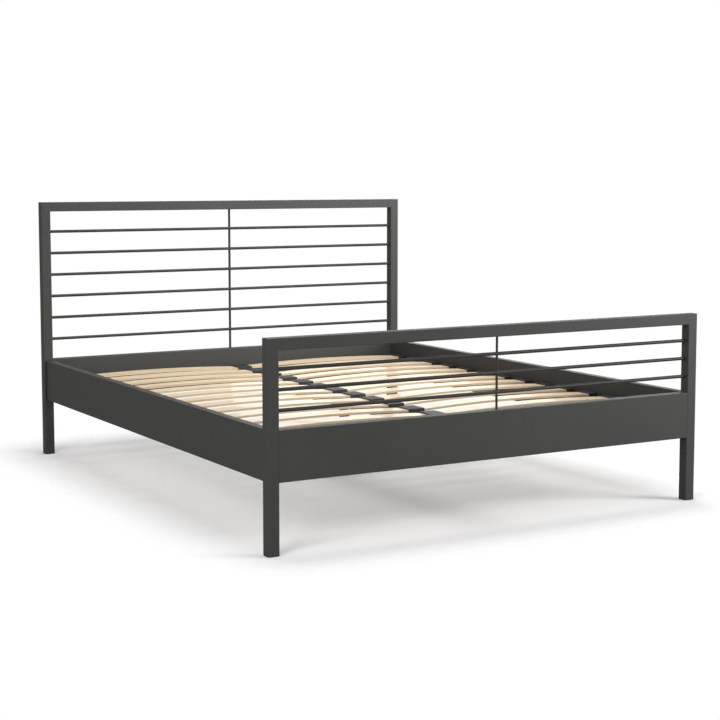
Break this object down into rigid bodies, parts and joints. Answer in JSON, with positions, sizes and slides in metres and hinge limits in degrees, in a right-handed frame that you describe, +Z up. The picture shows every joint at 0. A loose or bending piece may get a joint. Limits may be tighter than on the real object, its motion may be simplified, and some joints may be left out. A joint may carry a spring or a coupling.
{
  "type": "metal bed frame",
  "caption": "Double bed frame of coated square steel tube with round cross rods in the headboard and footboard, box-section side rails and bowed wooden slats on a centre beam.",
  "frame": {"origin": "middle of the footprint on the floor", "axes": "+X to the right seen from the foot end, +Y from the footboard towards the headboard, +Z up"},
  "size_m": [1.7, 2.09, 1.04],
  "materials": {
    "powder_coat": "satin anthracite powder coat",
    "zinc_steel": "bright zinc plated",
    "black_plastic": "moulded, fine grain",
    "birch_ply": "clear-lacquered laminated birch"
  },
  "bodies": {
    "frame": {"head_post_left": "powder_coat", "head_post_right": "powder_coat", "head_top_rail": "powder_coat", "head_panel": "powder_coat", "head_rod_1": "powder_coat", "head_rod_2": "powder_coat", "head_rod_3": "powder_coat", "head_rod_4": "powder_coat", "head_rod_5": "powder_coat", "head_rod_6": "powder_coat", "head_uprights": "powder_coat", "foot_post_left": "powder_coat", "foot_post_right": "powder_coat", "foot_top_rail": "powder_coat", "foot_panel": "powder_coat", "foot_rod_1": "powder_coat", "foot_rod_2": "powder_coat", "foot_rod_3": "powder_coat", "foot_uprights": "powder_coat", "side_rail_left": "powder_coat", "side_rail_right": "powder_coat", "ledge_left": "powder_coat", "ledge_right": "powder_coat", "centre_beam": "powder_coat", "beam_seat_head": "powder_coat", "beam_seat_foot": "powder_coat", "corner_bracket_head_left": "powder_coat", "corner_bracket_head_right": "powder_coat", "corner_bracket_foot_left": "powder_coat", "corner_bracket_foot_right": "powder_coat", "centre_leg": "powder_coat", "leg_plate": "powder_coat", "bolts": "zinc_steel", "washers": "zinc_steel", "weld_nuts": "zinc_steel", "jam_nut": "zinc_steel", "post_glides": "black_plastic", "leg_insert": "black_plastic", "slat_holders_left": "black_plastic", "slat_holders_right": "black_plastic", "slat_holders_centre": "black_plastic", "slat_pair_01": "birch_ply", "slat_pair_02": "birch_ply", "slat_pair_03": "birch_ply", "slat_pair_04": "birch_ply", "slat_pair_05": "birch_ply", "slat_pair_06": "birch_ply", "slat_pair_07": "birch_ply", "slat_pair_08": "birch_ply", "slat_pair_09": "birch_ply", "slat_pair_10": "birch_ply", "slat_pair_11": "birch_ply", "slat_pair_12": "birch_ply", "slat_pair_13": "birch_ply", "slat_pair_14": "birch_ply"},
    "levelling_foot": {"foot_spindle": "zinc_steel", "foot_pad": "black_plastic"}
  },
  "joints": [
    {"name": "foot_slide", "type": "slide", "parent": "frame", "child": "levelling_foot", "axis": [0, 0, 1], "range_m": [-0.01, 0.01]}
  ]
}
